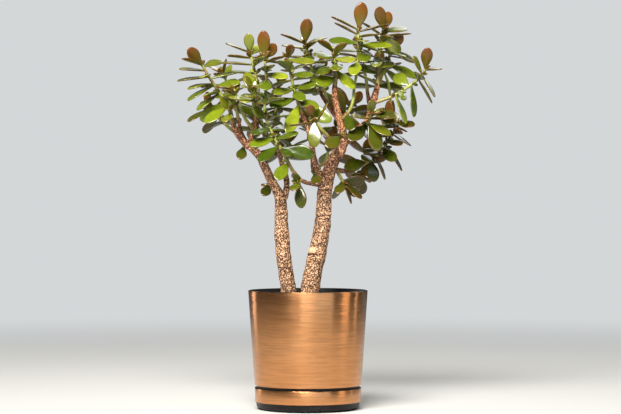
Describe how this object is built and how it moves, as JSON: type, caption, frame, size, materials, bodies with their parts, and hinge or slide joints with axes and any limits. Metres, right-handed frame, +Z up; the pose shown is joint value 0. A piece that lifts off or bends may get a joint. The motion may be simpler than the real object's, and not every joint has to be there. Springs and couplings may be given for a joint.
{
  "type": "potted jade bonsai",
  "caption": "Jade bonsai with two bare woody trunks and a crown of plump oval leaves, in a tapered copper-clad round planter that stands in its saucer.",
  "frame": {"origin": "middle of the saucer's underside, on the planter's axis", "axes": "+Z up, along the planter's axis; -Y towards the viewer of the plant's front; +X to the viewer's right"},
  "size_m": [0.3639, 0.2143, 0.5612],
  "materials": {
    "copper": "brushed",
    "black_plastic": "satin",
    "soil": "matte",
    "bark": "matte",
    "leaf": "satin"
  },
  "bodies": {
    "root": {"pot_liner": "black_plastic", "copper_sleeve": "copper", "saucer": "black_plastic", "copper_band": "copper", "soil": "soil", "trunk_left": "bark", "trunk_right": "bark", "shoot_far_left": "leaf", "shoot_left_low": "leaf", "shoot_left_back": "leaf", "shoot_left_back_out": "leaf", "shoot_left_upper": "leaf", "shoot_left_mid": "leaf", "shoot_front_left": "leaf", "shoot_center_upper": "leaf", "shoot_center_back": "leaf", "shoot_right_center": "leaf", "shoot_top": "leaf", "shoot_right_upper": "leaf", "shoot_right_upper_back": "leaf", "shoot_far_right": "leaf", "shoot_right_front": "leaf", "shoot_right_mid": "leaf", "shoot_low_right": "leaf", "shoot_low_right_hang": "leaf", "shoot_low_right_small": "leaf", "shoot_front_center": "leaf", "shoot_front_right": "leaf", "shoot_front_low": "leaf", "shoot_front_low_right": "leaf", "shoot_back_left": "leaf", "shoot_back_left_low": "leaf", "shoot_back_left_out": "leaf", "shoot_back_center": "leaf", "shoot_back_center_up": "leaf", "shoot_back_right_up": "leaf", "shoot_back_right_out": "leaf", "shoot_back_right_low": "leaf", "shoot_back_low_center": "leaf", "shoot_back_mid": "leaf", "shoot_back_left_up": "leaf", "shoot_left_hang": "leaf", "shoot_front_mid_left": "leaf", "shoot_front_right_up": "leaf", "shoot_left_behind": "leaf"}
  },
  "joints": []
}
